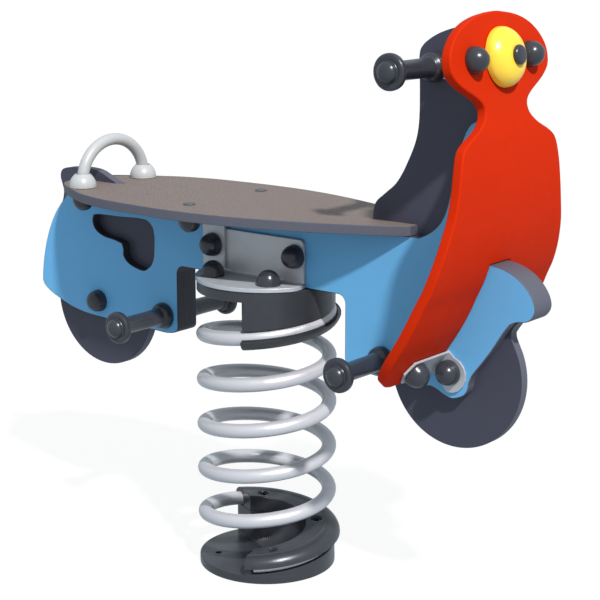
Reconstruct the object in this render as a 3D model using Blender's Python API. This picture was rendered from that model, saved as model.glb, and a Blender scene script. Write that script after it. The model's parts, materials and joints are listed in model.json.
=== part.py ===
"""Playground spring rider in the form of a motor scooter.

A single coil spring stands on a round cast foot and carries a stack of three
flat panels, a deck seat, a curved front shield and the grips.

Frame: metres, +X the way the scooter faces, +Y its left side, +Z up.
The origin is the centre of the underside of the foot, on the spring's axis.
"""
import math

import bmesh
import bpy
from mathutils import Matrix, Vector

GAP = 0.0003                     # clearance between pieces that touch
PIVOT = (0.0, 0.0, 0.2040)       # the spring bends about its middle
STANDS_STILL = ("base_", "anchor_hole")

# Spring: right-hand coil of round wire
WIRE_RADIUS = 0.010
COIL_RADIUS = 0.0875             # axis to wire centre
PITCH = 0.0647
WIRE_START = 298.0               # degrees from +X, seen from above
BASE_START = -6.5                # the foot's clamp starts a little before the wire
BASE_WRAP = 225.5                # degrees of each clamp
TOP_WRAP = 221.0
COIL_DEGREES = 2013.0            # whole length of the coil, 5.6 turns
WIRE_START_HEIGHT = 0.0237
WIRE_STEPS_PER_TURN = 20

# Cast fittings at the two ends of the spring
FITTING_RADIUS = 0.0960
FITTING_INNER = 0.0550
CLAMP_RADIUS = 0.1035
FOOT_THICKNESS = 0.0115
HEAD_DISC_LOW = 0.3962
HEAD_DISC_HIGH = 0.4107
RAMP_BITE = 0.0040               # depth of a ramp's root in its disc
BASE_LIP = -0.0005               # height of a clamp's outer edge beside the wire
TOP_LIP = 0.0030
ANCHOR_OFFSET = 0.0495           # anchor holes, along X and Y
ANCHOR_HOLE_RADIUS = 0.0045

# Steel plate and brackets under the panels
PLATE_RADIUS = 0.0975
PLATE_LOW = HEAD_DISC_HIGH + GAP
PLATE_HIGH = 0.4168
PLATE_STUDS = (0.0495, 0.0545)
PLATE_BOLT_DEPTH = 0.0120        # in the casting, under the plate
BRACKET_THICKNESS = 0.0050
BRACKET_ENDS = (-0.0920, 0.0855)
BRACKET_TOP = 0.4770
BRACKET_WELD = 0.0060
BRACKET_BOLTS = (-0.0710, 0.0710)
BRACKET_BOLT_HEIGHT = 0.4535

# Panels
SHEET = 0.0130                   # thickness of every panel
HALF_SHEET = SHEET / 2
STACK = 1.5 * SHEET + GAP        # axis to the outer face of the side panels
PANEL_TOP = 0.5017               # under the seat
NOTCH = (-0.1490, 0.1510)        # the spring's opening between the two bodies
NOTCH_TOP = HEAD_DISC_HIGH + GAP # the panels stand on the casting
NOTCH_ROUNDING = 0.0120          # at the top corners
BODY_BOTTOM = 0.3110
WHEEL_RADIUS = 0.0978
FRONT_WHEEL = (0.3161, 0.3320)
REAR_WHEEL = (-0.3110, 0.3360)

# Seat and grab arch
SEAT_TOP = 0.5150
SEAT_REAR = -0.3560
SEAT_FRONT = 0.2550
HUMP_SLOT_END = -0.2730          # the seat's slots for the middle panel
COLUMN_SLOT_START = 0.1845
ARCH_X = -0.2920
ARCH_RADIUS = 0.0620             # half the spacing of the feet
ARCH_APEX = 0.5790               # top of the tube's centre line
ARCH_TUBE = 0.0085
ARCH_STRAIGHT = 0.0080           # upright part of each leg
ARCH_STEPS = 18
ARCH_FOOT = [(0.0195, 0), (0.0195, 0.0050), (0.0175, 0.0125), (0.0135, 0.0175)]
ARCH_FOOT_HEIGHT = 0.0195
ARCH_FOOT_BORE = ARCH_TUBE + 0.0020
SEAT_BOLT = (-0.0720, 0.0750)
SEAT_BOLT_HEAD = [(0.0085, GAP), (0.0072, 0.0025), (0, 0.0035)]
ANGLE_THICKNESS = 0.0040
ANGLE_ENDS = (-0.0895, -0.0500)
ANGLE_EDGE = 0.0140              # metal beyond the bolt

# Bolts, caps and grips
BOLT_RADIUS = 0.0050
HOLE_RADIUS = 0.0055
BOLT_HEAD = (0.0085, 0.0080)     # radius and height inside a cap
CAP_RADIUS = 0.0165
CAP_HEIGHT = 0.0205
CAP_BELL = [(CAP_RADIUS, 0), (0.0153, 0.0085), (0.0126, 0.0145), (0.0076, 0.0188),
            (0, CAP_HEIGHT)]
CAP_FLAT = [(0, 0)]
CAP_HOLLOW = [(0, BOLT_HEAD[1] + 2 * GAP), (BOLT_HEAD[0] + 2 * GAP, BOLT_HEAD[1] + 2 * GAP),
              (BOLT_HEAD[0] + 2 * GAP, 0)]
ROD_RADIUS = 0.0060
ROD_HOLE = 0.0065
GRIP_LENGTH = 0.1080
GRIP_BORE_DEPTH = 0.0880
GRIP_SHAPE = [(0.0190, 0), (0.0180, 0.0080), (0.0130, 0.0140), (0.0122, 0.0240), (0.0122, 0.0800),
              (0.0150, 0.0860), (0.0216, 0.0885), (0.0226, 0.0930), (0.0216, 0.0975),
              (0.0140, 0.1010), (0, GRIP_LENGTH)]
REAR_BODY_BOLT = (-0.3090, 0.3375)
FORK_BOLT = (0.3185, 0.3365)
HANDLEBAR = (0.2780, 0.7140)
REAR_FOOTREST = (-0.1760, 0.3345)
FRONT_FOOTREST = (0.2115, 0.3333)

# Shield
SLOT_HALF_WIDTH = 0.0224
SLOT_TOP = 0.4808
SLOT_EDGE = SLOT_TOP - 2 * GAP    # the panels' edge in the slot, measured up the shield
HEAD_CAP = (0.0625, 0.7295)      # half spacing and height
LAMP_RADIUS = 0.0365
LAMP_HEIGHT = 0.0240
LAMP_RIM = 0.0030
LAMP_FLAT = 0.0125               # radius of the flat middle
LAMP_FACE = 0.0230
LAMP_BUTTON = [(0, 0), (0.0115, 0), (0.0120, 0.0035), (0.0085, 0.0060), (0, 0.0070)]
LEG_CAP_Y = 0.0830
LEG_CAP_Z = 0.3500
THIN_STEEL = 0.0030              # the brackets that hold the shield
HEAD_BRACKET_SPAN = (0.7000, 0.7280)
HEAD_BRACKET_REACH = 0.0860
HEAD_BRACKET_EDGE = 0.0140       # metal behind the handlebar's rod
FORK_BRACKET_SPAN = (0.3345, 0.3650)
FORK_EAR_RADIUS = 0.0235
FORK_EAR_DROP = 0.0030           # the ear's centre, below the bolt
FORK_WING_EDGE = 0.0110          # metal beyond the leg's cap
FORK_WING_TIP = 0.0090

COLOURS = {
    "cast_iron": ((0.055, 0.058, 0.066), 0.45, 0.4),
    "spring_paint": ((0.66, 0.66, 0.69), 0.35, 0.2),
    "steel": ((0.27, 0.28, 0.31), 0.45, 0.8),
    "blue_panel": ((0.11, 0.36, 0.62), 0.40, 0.0),
    "dark_panel": ((0.045, 0.048, 0.065), 0.50, 0.0),
    "seat_deck": ((0.27, 0.22, 0.19), 0.70, 0.0),
    "red_panel": ((0.72, 0.045, 0.006), 0.35, 0.0),
    "arch_coat": ((0.70, 0.70, 0.68), 0.35, 0.0),
    "dark_plastic": ((0.050, 0.052, 0.058), 0.30, 0.0),
    "yellow_plastic": ((0.90, 0.62, 0.04), 0.25, 0.0),
    "bolt_steel": ((0.45, 0.46, 0.48), 0.35, 0.9),
}


# ---------------------------------------------------------------- helpers

def clear_scene():
    for item in list(bpy.data.objects):
        bpy.data.objects.remove(item, do_unlink=True)


def material(name):
    """Principled material, made once for each name in COLOURS."""
    found = bpy.data.materials.get(name)
    if found:
        return found
    colour, roughness, metallic = COLOURS[name]
    made = bpy.data.materials.new(name)
    made.use_nodes = True
    shader = made.node_tree.nodes["Principled BSDF"]
    shader.inputs["Base Color"].default_value = (*colour, 1.0)
    shader.inputs["Roughness"].default_value = roughness
    shader.inputs["Metallic"].default_value = metallic
    return made


def finish(bm, name, paint, smooth_angle=35.0):
    """Turn a bmesh into a named object."""
    bmesh.ops.recalc_face_normals(bm, faces=bm.faces)
    mesh = bpy.data.meshes.new(name)
    bm.to_mesh(mesh)
    bm.free()
    mesh.shade_smooth()
    mesh.set_sharp_from_angle(angle=math.radians(smooth_angle))
    mesh.materials.append(material(paint))
    made = bpy.data.objects.new(name, mesh)
    bpy.context.scene.collection.objects.link(made)
    return made


def hide(cutter):
    cutter.hide_render = True
    cutter.display_type = "WIRE"
    return cutter


def boolean(target, tool, operation="DIFFERENCE"):
    modifier = target.modifiers.new(tool.name, "BOOLEAN")
    modifier.operation = operation
    modifier.object = tool
    modifier.solver = "EXACT"


def bore(name, centre, direction, radius, length, segments=12):
    """Hidden cylinder that cuts a round hole."""
    bm = bmesh.new()
    bmesh.ops.create_cone(bm, cap_ends=True, segments=segments, radius1=radius,
                          radius2=radius, depth=length)
    cutter = finish(bm, name, "bolt_steel")
    return hide(stand(cutter, centre, direction))


def stand(thing, place, direction):
    """Put an object at a place with its own +Z along direction."""
    thing.location = place
    thing.rotation_mode = "QUATERNION"
    thing.rotation_quaternion = Vector(direction).to_track_quat("Z", "Y")
    return thing


def turned(name, profile, paint, segments=16, closed=False):
    """Solid of revolution about its own Z from (radius, height) points."""
    bm = bmesh.new()
    points = [bm.verts.new((radius, 0.0, height)) for radius, height in profile]
    pairs = list(zip(points, points[1:]))
    if closed:
        pairs.append((points[-1], points[0]))
    edges = [bm.edges.new(pair) for pair in pairs]
    bmesh.ops.spin(bm, geom=points + edges, cent=(0, 0, 0), axis=(0, 0, 1),
                   angle=math.tau, steps=segments, use_merge=True)
    bmesh.ops.remove_doubles(bm, verts=bm.verts, dist=1e-6)
    return finish(bm, name, paint)


def curve(points, steps=3):
    """Smooth curve through points, without its last point."""
    route = [points[0], *points, points[-1]]
    result = []
    for a, b, c, d in zip(route, route[1:], route[2:], route[3:]):
        for step in range(steps):
            t = step / steps
            result.append(tuple(
                0.5 * (2 * q + (r - p) * t + (2 * p - 5 * q + 4 * r - s) * t ** 2
                       + (3 * q - p - 3 * r + s) * t ** 3)
                for p, q, r, s in zip(a, b, c, d)))
    return result


def arc(centre, radius, start, end, steps):
    """Points on a circle from start to end degrees, both included."""
    angles = [math.radians(start + (end - start) * i / steps) for i in range(steps + 1)]
    return [(centre[0] + radius * math.cos(a), centre[1] + radius * math.sin(a)) for a in angles]


def interpolate(table, at):
    """Straight-line reading of a rising (key, value) table."""
    for (k0, v0), (k1, v1) in zip(table, table[1:]):
        if at <= k1:
            return v0 + (v1 - v0) * (at - k0) / (k1 - k0)
    return table[-1][1]


def prism(name, ring, shift, paint):
    """Solid between a flat ring of points and the same ring moved by shift."""
    bm = bmesh.new()
    face = bm.faces.new([bm.verts.new(point) for point in ring])
    extruded = bmesh.ops.extrude_face_region(bm, geom=[face])["geom"]
    moved = [item for item in extruded if isinstance(item, bmesh.types.BMVert)]
    bmesh.ops.translate(bm, vec=shift, verts=moved)
    return finish(bm, name, paint)


def sheet_panel(name, outline, middle, thickness, paint):
    """Flat panel in the XZ plane, centred on y = middle."""
    near = middle - thickness / 2
    return prism(name, [(x, near, z) for x, z in outline], (0, thickness, 0), paint)


def sides():
    return (("right", -1), ("left", 1))


# ---------------------------------------------------------------- spring

def wire_height(turned_degrees):
    return WIRE_START_HEIGHT + PITCH * turned_degrees / 360


def make_spring():
    count = round(COIL_DEGREES / 360 * WIRE_STEPS_PER_TURN)
    data = bpy.data.curves.new("coil_spring", "CURVE")
    data.dimensions = "3D"
    data.bevel_depth = WIRE_RADIUS
    data.bevel_resolution = 2
    data.use_fill_caps = True
    spline = data.splines.new("POLY")
    spline.points.add(count)
    for index, point in enumerate(spline.points):
        along = COIL_DEGREES * index / count
        angle = math.radians(WIRE_START + along)
        point.co = (COIL_RADIUS * math.cos(angle), COIL_RADIUS * math.sin(angle),
                    wire_height(along), 1)
    data.materials.append(material("spring_paint"))
    spring = bpy.data.objects.new("coil_spring", data)
    bpy.context.scene.collection.objects.link(spring)


def helical_band(name, section, start, wrap, paint, steps=16):
    """Band that follows the wire; section gives (radius, height) at each angle."""
    bm = bmesh.new()
    rings = []
    for index in range(steps + 1):
        along = start + wrap * index / steps
        angle = math.radians(WIRE_START + along)
        rings.append([bm.verts.new((radius * math.cos(angle), radius * math.sin(angle), height))
                      for radius, height in section(wire_height(along))])
    for ring, following in zip(rings, rings[1:]):
        count = len(ring)
        for i in range(count):
            j = (i + 1) % count
            bm.faces.new((ring[i], ring[j], following[j], following[i]))
    bm.faces.new(rings[0])
    bm.faces.new(list(reversed(rings[-1])))
    return finish(bm, name, paint)


def ramp_section(disc_side, direction):
    """Wall between a fitting's disc and the wire, which rests on it."""
    def section(wire):
        edge = wire - direction * (WIRE_RADIUS + GAP)
        return [(FITTING_INNER, disc_side), (FITTING_RADIUS - GAP, disc_side),
                (FITTING_RADIUS - GAP, edge), (FITTING_INNER, edge)]
    return section


def clamp_section(direction, lip):
    """Hooked cover on the free side of the wire: inner wall, roof and outer lip."""
    def section(wire):
        shape = [(CLAMP_RADIUS - 0.0045, lip), (CLAMP_RADIUS, lip), (CLAMP_RADIUS, 0.0100),
                 (0.0975, 0.0160), (0.0850, 0.0170), (0.0775, 0.0135), (FITTING_INNER, 0.0135),
                 (FITTING_INNER, -0.0092), (0.0755, -0.0092), (0.0760, 0.0104),
                 (CLAMP_RADIUS - 0.0045, 0.0104)]
        return [(radius, wire + direction * height) for radius, height in shape]
    return section


def make_fitting(name, disc, direction, start, wrap, lip):
    """Cast disc with its ramp, and the clamp that holds the wire on the ramp."""
    low, high = disc
    side = high - RAMP_BITE if direction > 0 else low + RAMP_BITE
    flange = turned(f"{name}_flange",
                    [(0, low), (FITTING_RADIUS, low), (FITTING_RADIUS, high), (0, high)],
                    "cast_iron", segments=32)
    ramp = hide(helical_band(f"{name}_ramp", ramp_section(side, direction), start, wrap,
                             "cast_iron"))
    boolean(flange, ramp, "UNION")
    clamp = helical_band(f"{name}_clamp", clamp_section(direction, lip), start, wrap, "cast_iron")
    return flange, clamp


def make_fittings():
    foot, foot_clamp = make_fitting("base", (0.0, FOOT_THICKNESS), 1, BASE_START, BASE_WRAP,
                                    BASE_LIP)
    head, _ = make_fitting("top", (HEAD_DISC_LOW, HEAD_DISC_HIGH), -1, COIL_DEGREES - TOP_WRAP,
                           TOP_WRAP, TOP_LIP)
    for x in (-ANCHOR_OFFSET, ANCHOR_OFFSET):
        for y in (-ANCHOR_OFFSET, ANCHOR_OFFSET):
            hole = bore(f"anchor_hole_{x:+.2f}_{y:+.2f}", (x, y, 0.05), (0, 0, 1),
                        ANCHOR_HOLE_RADIUS, 0.13, 10)
            boolean(foot, hole)
            if not (x < 0 and y < 0):
                boolean(foot_clamp, hole)
    return head


# ---------------------------------------------------------------- caps and bolts

def shank(length):
    return [(0, -length), (BOLT_RADIUS, -length), (BOLT_RADIUS, 0)]


def dome_cap(name, place, direction, underside=CAP_HOLLOW):
    """Bell-shaped cover: hollow over a bolt's end, flat underneath, or with its own shank."""
    profile = [*underside, *CAP_BELL]
    return stand(turned(name, profile, "dark_plastic", segments=12), place, direction)


def cross_bolt(name, x, z, outer):
    """Bolt along Y, with a head and a nut standing outside y = outer."""
    head_radius, head_height = BOLT_HEAD
    end = outer + head_height
    profile = [(0, -end), (head_radius, -end), (head_radius, -outer), (BOLT_RADIUS, -outer),
               (BOLT_RADIUS, outer), (head_radius, outer), (head_radius, end), (0, end)]
    return stand(turned(name, profile, "bolt_steel", segments=12), (x, 0, z), (0, 1, 0))


# ---------------------------------------------------------------- panels

SHIELD_FACE = [  # height and x of the shield's front face
    (0.3250, 0.2850), (0.3615, 0.3116), (0.3790, 0.3239), (0.3962, 0.3353), (0.4130, 0.3445),
    (0.4292, 0.3525), (0.4455, 0.3598), (0.4600, 0.3670), (0.4800, 0.3740), (0.5000, 0.3793),
    (0.5200, 0.3833), (0.5500, 0.3868), (0.5800, 0.3878), (0.6100, 0.3867), (0.6400, 0.3835),
    (0.6700, 0.3775), (0.7000, 0.3720), (0.7300, 0.3670), (0.7840, 0.3576)]


SHIELD_PROFILE = curve(SHIELD_FACE, 4) + [SHIELD_FACE[-1]]


def shield_front(z):
    return Vector((interpolate(SHIELD_PROFILE, z), 0, z))


def shield_normal(z):
    slope = (shield_front(z + 0.006) - shield_front(z - 0.006)).normalized()
    return Vector((slope.z, 0, -slope.x))


def shield_back(z):
    """Point on the back face's curve, as (x, z), just behind the shield."""
    point = shield_front(z) - shield_normal(z) * (SHEET + 2 * GAP)
    return point.x, point.z


def shield_back_line(high, low, steps):
    return [shield_back(high + (low - high) * i / steps) for i in range(steps + 1)]


def through_slot():
    """Point where a panel's edge, close under the slot's top, comes out of the shield."""
    point = shield_front(SLOT_EDGE) + shield_normal(SLOT_EDGE) * GAP
    return point.x, point.z


def mudguard(end):
    """Edge of the panels in front of the shield, down to a last point."""
    return [through_slot(), (0.3900, 0.4778), (0.4090, 0.4700), (0.4240, 0.4580), (0.4340, 0.4435),
            (0.4363, 0.4294), (0.4277, 0.4175), *end]


def lower_front():
    """Front body's underside from the fork's tip back to the notch."""
    fork = [(0.4120, 0.4140), (0.4025, 0.4095), (0.3913, 0.3950), (0.3753, 0.3701),
            (0.3485, 0.3335), (0.3446, 0.3195), (0.3384, 0.3088), (0.3210, 0.3018),
            (0.3060, 0.3055), (0.2900, BODY_BOTTOM + 0.001), (0.2600, BODY_BOTTOM - 0.001),
            (0.2100, BODY_BOTTOM - 0.001), (0.1750, BODY_BOTTOM + 0.002)]
    return curve(fork, 2)


def notch_outline():
    """Opening for the spring, from the front body round to the rear body."""
    rear, front = NOTCH
    return [(front + 0.010, BODY_BOTTOM + 0.004), (front + 0.002, BODY_BOTTOM + 0.010),
            (front, BODY_BOTTOM + 0.017),
            *arc((front - NOTCH_ROUNDING, NOTCH_TOP - NOTCH_ROUNDING), NOTCH_ROUNDING, 0, 90, 4),
            *arc((rear + NOTCH_ROUNDING, NOTCH_TOP - NOTCH_ROUNDING), NOTCH_ROUNDING, 90, 180, 4),
            *arc((rear - 0.009, BODY_BOTTOM + 0.010), 0.009, 0, -70, 3)]


def side_outline():
    rear = [(-0.1650, 0.3098), (-0.2300, 0.3095), (-0.2960, 0.3120), (-0.3300, 0.3135),
            (-0.3620, 0.3180), (-0.3930, 0.3280), (-0.4170, 0.3380), (-0.4295, 0.3480),
            (-0.4315, 0.3600), (-0.4265, 0.3920), (-0.4165, 0.4250), (-0.4005, 0.4570),
            (-0.3790, 0.4830), (-0.3555, PANEL_TOP)]
    neck = [(0.2660, PANEL_TOP), (0.2798, 0.5079), (0.2945, 0.5197), (0.3045, 0.5359),
            (0.3110, 0.5580), (0.3170, 0.5900), (0.3240, 0.6180), (0.3338, 0.6419),
            (0.3440, 0.6540)]
    return [*notch_outline(), *curve(rear, 2), *curve(neck, 2),
            *shield_back_line(0.6600, SLOT_EDGE, 7), *curve(mudguard([(0.4120, 0.4140)])),
            *lower_front()]


def core_outline():
    """Middle panel: both wheels, the hump behind the seat and the column."""
    rear_side = [(-0.4085, 0.3700), (-0.4115, 0.3900), (-0.4090, 0.4250), (-0.4010, 0.4600),
                 (-0.3925, 0.4880), (-0.3935, 0.5000), (-0.3980, 0.5130), (-0.3960, 0.5230),
                 (-0.3880, 0.5280), (-0.3720, 0.5308), (-0.3450, 0.5324), (-0.3200, 0.5308),
                 (-0.3050, 0.5260), (-0.2900, 0.5195), (-0.2765, 0.5140)]
    column = [(0.1860, PANEL_TOP + 0.008), (0.1890, 0.5360), (0.2210, 0.5645),
              (0.2400, 0.5965), (0.2515, 0.6255), (0.2550, 0.6550), (0.2545, 0.6980),
              (0.2535, 0.7260), (0.2590, 0.7400), (0.2800, 0.7540), (0.3070, 0.7630),
              (0.3300, 0.7665)]
    above_wheel = [(0.4110, 0.4135), (0.4000, 0.4040), (0.3965, 0.3950), (0.3975, 0.3870)]
    leave = math.degrees(math.asin((BODY_BOTTOM - FRONT_WHEEL[1]) / WHEEL_RADIUS))
    join = math.degrees(math.asin((BODY_BOTTOM - REAR_WHEEL[1]) / WHEEL_RADIUS))
    return [*notch_outline(),
            *arc(REAR_WHEEL, WHEEL_RADIUS, join, -192, 24),
            *curve(rear_side, 2), (-0.2745, PANEL_TOP), (0.1850, PANEL_TOP),
            *curve(column, 2),
            *shield_back_line(0.7560, SLOT_EDGE, 9), *curve(mudguard(above_wheel), 2),
            *arc(FRONT_WHEEL, WHEEL_RADIUS, 30, -180 - leave, 26),
            (0.1750, BODY_BOTTOM)]


def window_outline():
    """L-shaped opening in the side panels."""
    outline = [(-0.2640, 0.4688), (-0.2170, 0.4705), (-0.2010, 0.4660), (-0.1935, 0.4510),
               (-0.1960, 0.4140), (-0.2070, 0.4000), (-0.2190, 0.3960), (-0.2430, 0.4020),
               (-0.2550, 0.4130), (-0.2580, 0.4310), (-0.2930, 0.4370), (-0.3100, 0.4440),
               (-0.3170, 0.4540), (-0.3160, 0.4640), (-0.3080, 0.4675)]
    return curve([*outline, outline[0]], 2)


def make_panels():
    core = sheet_panel("core_panel", core_outline(), 0, SHEET, "dark_panel")
    panels = [core]
    window = hide(sheet_panel("window", window_outline(), 0, 0.2, "blue_panel"))
    for side, sign in sides():
        panel = sheet_panel(f"side_panel_{side}", side_outline(), sign * (SHEET + GAP), SHEET,
                            "blue_panel")
        boolean(panel, window)
        panels.append(panel)
    across = (0, 1, 0)
    holes = [(x, BRACKET_BOLT_HEIGHT, HOLE_RADIUS) for x in BRACKET_BOLTS]
    holes += [(*REAR_BODY_BOLT, HOLE_RADIUS), (*FORK_BOLT, HOLE_RADIUS),
              (*REAR_FOOTREST, ROD_HOLE), (*FRONT_FOOTREST, ROD_HOLE)]
    for x, z, radius in holes:
        hole = bore(f"panel_hole_{x:+.3f}", (x, 0, z), across, radius, 0.1)
        for panel in panels:
            boolean(panel, hole)
    bar = bore("handlebar_hole", (HANDLEBAR[0], 0, HANDLEBAR[1]), across, ROD_HOLE, 0.1)
    boolean(core, bar)


# ---------------------------------------------------------------- steelwork

def make_spring_plates(head):
    """Two plates, one on each side of the panels: segments of a disc with squared ends."""
    inner = STACK + GAP
    rear, front = BRACKET_ENDS
    start, end = (math.degrees(math.acos(x / PLATE_RADIUS)) for x in (front, rear))
    round_edge = arc((0, 0), PLATE_RADIUS, start, end, 16)
    outline = [(front, inner), *round_edge, (rear, inner)]
    top = PLATE_HIGH + GAP
    bolt = top - PLATE_LOW + PLATE_BOLT_DEPTH
    for side, sign in sides():
        ring = [(x, sign * y, PLATE_LOW) for x, y in outline]
        plate = prism(f"spring_plate_{side}", ring, (0, 0, PLATE_HIGH - PLATE_LOW), "steel")
        for end, along in (("rear", -1), ("front", 1)):
            place = (along * PLATE_STUDS[0], sign * PLATE_STUDS[1], top)
            dome_cap(f"plate_cap_{end}_{side}", place, (0, 0, 1), shank(bolt))
            hole = bore(f"plate_hole_{end}_{side}", place, (0, 0, 1), HOLE_RADIUS,
                        2 * (bolt + GAP), 10)
            boolean(plate, hole)
            boolean(head, hole)


def make_brackets():
    inner = STACK + GAP
    outer = inner + BRACKET_THICKNESS
    low = PLATE_HIGH + GAP
    rear, front = BRACKET_ENDS
    profile = [(inner, low), (outer + BRACKET_WELD, low), (outer, low + BRACKET_WELD),
               (outer, BRACKET_TOP), (inner, BRACKET_TOP)]
    for side, sign in sides():
        bracket = prism(f"bracket_{side}", [(rear, sign * y, z) for y, z in profile],
                        (front - rear, 0, 0), "steel")
        for end, x in zip(("rear", "front"), BRACKET_BOLTS):
            hole = bore(f"bracket_hole_{end}_{side}", (x, sign * inner, BRACKET_BOLT_HEIGHT),
                        (0, 1, 0), HOLE_RADIUS, 0.03)
            boolean(bracket, hole)
    faces = (outer + 2 * GAP + ANGLE_THICKNESS, outer + GAP)
    for end, x, face in zip(("rear", "front"), BRACKET_BOLTS, faces):
        cross_bolt(f"bracket_bolt_{end}", x, BRACKET_BOLT_HEIGHT, face)
        for side, sign in sides():
            dome_cap(f"bracket_cap_{end}_{side}", (x, sign * face, BRACKET_BOLT_HEIGHT),
                     (0, sign, 0))


def make_body_bolts():
    x, z = REAR_BODY_BOLT
    cross_bolt("rear_body_bolt", x, z, STACK + GAP)
    for side, sign in sides():
        dome_cap(f"rear_body_cap_{side}", (x, sign * (STACK + GAP), z), (0, sign, 0))


# ---------------------------------------------------------------- seat

SEAT_HALF_WIDTH = [(SEAT_REAR, 0.0290), (-0.3490, 0.0450), (-0.3340, 0.0590), (-0.3130, 0.0725),
                   (-0.2620, 0.1000), (-0.2130, 0.1150), (-0.1670, 0.1220), (-0.0910, 0.1260),
                   (-0.0250, 0.1230), (0.0340, 0.1130), (0.0860, 0.0990), (0.1280, 0.0850),
                   (0.1740, 0.0660), (0.2190, 0.0450), (SEAT_FRONT, 0.0220)]


def make_seat():
    """Deck with an open slot at each end for the middle panel."""
    half = curve(SEAT_HALF_WIDTH, 2) + [SEAT_HALF_WIDTH[-1]]
    slot = HALF_SHEET + GAP
    near = [(x, -y) for x, y in half]
    far = [(x, y) for x, y in reversed(half)]
    front_slot = [(SEAT_FRONT, -slot), (COLUMN_SLOT_START, -slot), (COLUMN_SLOT_START, slot),
                  (SEAT_FRONT, slot)]
    rear_slot = [(SEAT_REAR, slot), (HUMP_SLOT_END, slot), (HUMP_SLOT_END, -slot),
                 (SEAT_REAR, -slot)]
    low = PANEL_TOP + GAP
    ring = [(x, y, low) for x, y in [*near, *front_slot, *far, *rear_slot]]
    seat = prism("seat", ring, (0, 0, SEAT_TOP - low), "seat_deck")
    for side, sign in sides():
        for kind, x, y in (("seat", *SEAT_BOLT), ("arch", ARCH_X, ARCH_RADIUS)):
            boolean(seat, bore(f"{kind}_hole_{side}", (x, sign * y, SEAT_TOP), (0, 0, 1),
                               HOLE_RADIUS, 0.06, 10))
    return low


def make_seat_fixings(seat_low):
    """Angle from each bracket up to the seat, with its carriage bolt and cap."""
    x, y = SEAT_BOLT
    rear, front = ANGLE_ENDS
    inner = STACK + 2 * GAP + BRACKET_THICKNESS
    outer = inner + ANGLE_THICKNESS
    low = PLATE_HIGH + 2 * GAP + BRACKET_WELD
    top = seat_low - GAP
    under = top - ANGLE_THICKNESS
    profile = [(inner, low), (outer, low), (outer, under), (y + ANGLE_EDGE, under),
               (y + ANGLE_EDGE, top), (inner, top)]
    nut_radius, nut_height = BOLT_HEAD
    nut_top = under - GAP
    bolt = [(0, nut_top - nut_height), (nut_radius, nut_top - nut_height), (nut_radius, nut_top),
            (BOLT_RADIUS, nut_top), (BOLT_RADIUS, SEAT_TOP + GAP),
            *((radius, SEAT_TOP + height) for radius, height in SEAT_BOLT_HEAD)]
    for side, sign in sides():
        ring = [(rear, sign * v, w) for v, w in profile]
        angle = prism(f"seat_angle_{side}", ring, (front - rear, 0, 0), "steel")
        boolean(angle, bore(f"angle_hole_{side}", (x, sign * y, top), (0, 0, 1), HOLE_RADIUS, 0.03))
        boolean(angle, bore(f"angle_side_hole_{side}",
                            (BRACKET_BOLTS[0], sign * inner, BRACKET_BOLT_HEIGHT), (0, 1, 0),
                            HOLE_RADIUS, 0.03))
        stand(turned(f"seat_bolt_{side}", bolt, "bolt_steel", segments=12), (x, sign * y, 0),
              (0, 0, 1))
        dome_cap(f"seat_cap_{side}", (x, sign * y, nut_top), (0, 0, -1))


def make_arch(seat_low):
    """Half-ring of coated tube standing on two domed feet."""
    base = SEAT_TOP + GAP
    data = bpy.data.curves.new("grab_arch", "CURVE")
    data.dimensions = "3D"
    data.bevel_depth = ARCH_TUBE
    data.bevel_resolution = 3
    data.use_fill_caps = True
    rise = ARCH_APEX - base - ARCH_STRAIGHT
    route = [(-ARCH_RADIUS, GAP)]
    route += [(-ARCH_RADIUS * math.cos(math.pi * i / ARCH_STEPS),
               ARCH_STRAIGHT + rise * math.sin(math.pi * i / ARCH_STEPS))
              for i in range(ARCH_STEPS + 1)]
    route += [(ARCH_RADIUS, GAP)]
    spline = data.splines.new("POLY")
    spline.points.add(len(route) - 1)
    for point, (y, height) in zip(spline.points, route):
        point.co = (ARCH_X, y, base + height, 1)
    data.materials.append(material("arch_coat"))
    arch = bpy.data.objects.new("grab_arch", data)
    bpy.context.scene.collection.objects.link(arch)
    dome = [(ARCH_FOOT_BORE, 0), *ARCH_FOOT, (ARCH_FOOT_BORE, ARCH_FOOT_HEIGHT)]
    for side, sign in sides():
        foot = turned(f"arch_foot_{side}", dome, "arch_coat", segments=16, closed=True)
        stand(foot, (ARCH_X, sign * ARCH_RADIUS, base), (0, 0, 1))
        dome_cap(f"arch_cap_{side}", (ARCH_X, sign * ARCH_RADIUS, seat_low - GAP), (0, 0, -1),
                 shank(SEAT_TOP - seat_low + GAP))


# ---------------------------------------------------------------- grips

def make_grips(name, centre, face, plural):
    """Rod across the body with a dumbbell-shaped grip on each end."""
    x, z = centre
    hole = ROD_RADIUS + GAP
    profile = [(0, GRIP_BORE_DEPTH), (hole, GRIP_BORE_DEPTH), (hole, 0), *GRIP_SHAPE]
    for side, sign in sides():
        grip = turned(f"{plural}_{side}", profile, "dark_plastic", segments=14)
        stand(grip, (x, sign * (face + GAP), z), (0, sign, 0))
    reach = face + GRIP_BORE_DEPTH
    rod = [(0, -reach), (ROD_RADIUS, -reach), (ROD_RADIUS, reach), (0, reach)]
    stand(turned(f"{name}_rod", rod, "bolt_steel", segments=12), (x, 0, z), (0, 1, 0))


# ---------------------------------------------------------------- shield

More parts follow.
